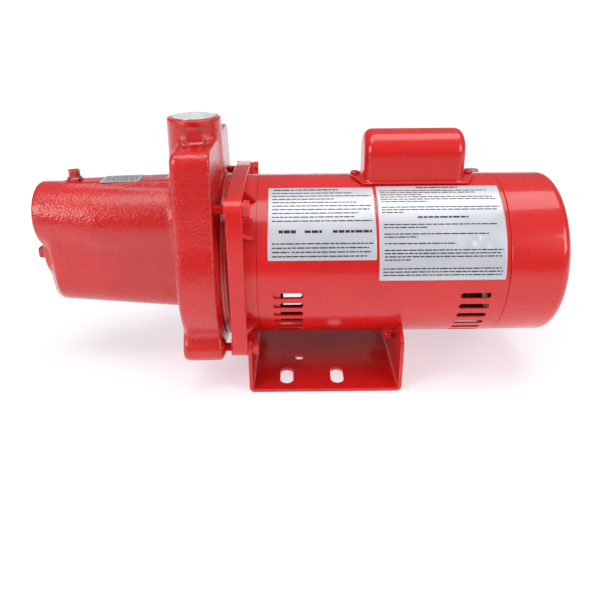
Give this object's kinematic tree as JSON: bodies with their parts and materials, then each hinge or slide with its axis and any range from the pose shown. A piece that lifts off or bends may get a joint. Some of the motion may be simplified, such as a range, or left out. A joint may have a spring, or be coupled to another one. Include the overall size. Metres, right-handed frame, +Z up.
{
  "type": "shallow well jet pump",
  "caption": "Red cast iron jet pump with a long suction snout on a close-coupled electric motor, capacitor box on top and a stamped steel foot.",
  "frame": {"origin": "under the middle of the pump's overall length, on the underside of its base", "axes": "+X along the shaft towards the motor's rear end, +Z up, the way the discharge port points"},
  "size_m": [0.455, 0.164, 0.2269],
  "materials": {
    "casing_paint": "gloss paint over rough casting",
    "gloss_paint": "gloss",
    "screw_paint": "gloss",
    "plug_iron": "painted over with the casing",
    "cap_plastic": "matte",
    "pump_plastic": "satin",
    "brass": "turned",
    "black_rubber": "matte",
    "ceramic": "lapped",
    "carbon": "satin",
    "steel": "ground",
    "zinc": "zinc plated",
    "laminations": "stamped",
    "aluminium": "cast",
    "copper": "varnished copper",
    "board": "satin",
    "grey_plastic": "satin",
    "label": "printed foil"
  },
  "bodies": {
    "pump": {"pump_casing": "casing_paint", "nozzle": "brass", "nozzle_o_ring": "black_rubber", "venturi_tube": "pump_plastic", "venturi_seal": "black_rubber", "diffuser": "pump_plastic", "seal_plate": "casing_paint", "casing_gasket": "black_rubber", "seal_boot": "black_rubber", "seal_seat": "ceramic", "casing_bolts": "screw_paint", "bolt_washers": "screw_paint", "motor_adapter": "gloss_paint", "front_bearing_outer": "steel", "front_bearing_balls": "steel", "rear_bearing_outer": "steel", "rear_bearing_balls": "steel", "wave_washer": "steel", "stator_core": "laminations", "stator_windings": "copper", "motor_shell": "gloss_paint", "rear_bracket": "aluminium", "tie_bolts": "zinc", "end_cover": "gloss_paint", "end_cover_screws": "screw_paint", "start_switch": "board", "terminal_board": "board", "terminal_studs": "brass", "overload_protector": "carbon", "capacitor": "carbon", "capacitor_strap": "zinc", "capacitor_gasket": "black_rubber", "capacitor_cover": "gloss_paint", "capacitor_cover_screws": "screw_paint", "base_bracket": "gloss_paint", "cradle_screws": "screw_paint", "conduit_bushing": "grey_plastic", "left_label": "label", "right_label": "label", "snout_label": "label"},
    "rotor": {"motor_shaft": "steel", "rotor_core": "laminations", "rotor_cage": "aluminium", "cooling_fan": "pump_plastic", "governor_base": "zinc", "impeller": "pump_plastic", "seal_face": "carbon", "seal_bellows": "black_rubber", "seal_spring": "steel", "slinger": "black_rubber", "front_bearing_inner": "steel", "rear_bearing_inner": "steel"},
    "collar": {"governor_collar": "pump_plastic"},
    "dust_cap": {"discharge_cap": "cap_plastic"},
    "priming": {"priming_plug": "plug_iron"},
    "gauge_port": {"gauge_port_plug": "plug_iron"},
    "vent": {"vent_plug": "plug_iron"},
    "drain": {"drain_plug": "plug_iron"}
  },
  "joints": [
    {"name": "shaft_spin", "type": "hinge", "parent": "pump", "child": "rotor", "pos_m": [0.006, 0, 0.102], "axis": [1, 0, 0], "continuous": true},
    {"name": "governor_slide", "type": "slide", "parent": "rotor", "child": "collar", "axis": [-1, 0, 0], "range_m": [0, 0.004]},
    {"name": "dust_cap_pull", "type": "slide", "parent": "pump", "child": "dust_cap", "axis": [0, 0, 1], "range_m": [0, 0.03]},
    {"name": "priming_plug_unscrew", "type": "slide", "parent": "pump", "child": "priming", "axis": [0, 0, 1], "range_m": [0, 0.04]},
    {"name": "gauge_port_plug_unscrew", "type": "slide", "parent": "pump", "child": "gauge_port", "axis": [0, 0, 1], "range_m": [0, 0.04]},
    {"name": "vent_plug_unscrew", "type": "slide", "parent": "pump", "child": "vent", "axis": [0, 0, 1], "range_m": [0, 0.04]},
    {"name": "drain_plug_unscrew", "type": "slide", "parent": "pump", "child": "drain", "axis": [-1, 0, 0], "range_m": [0, 0.04]}
  ]
}
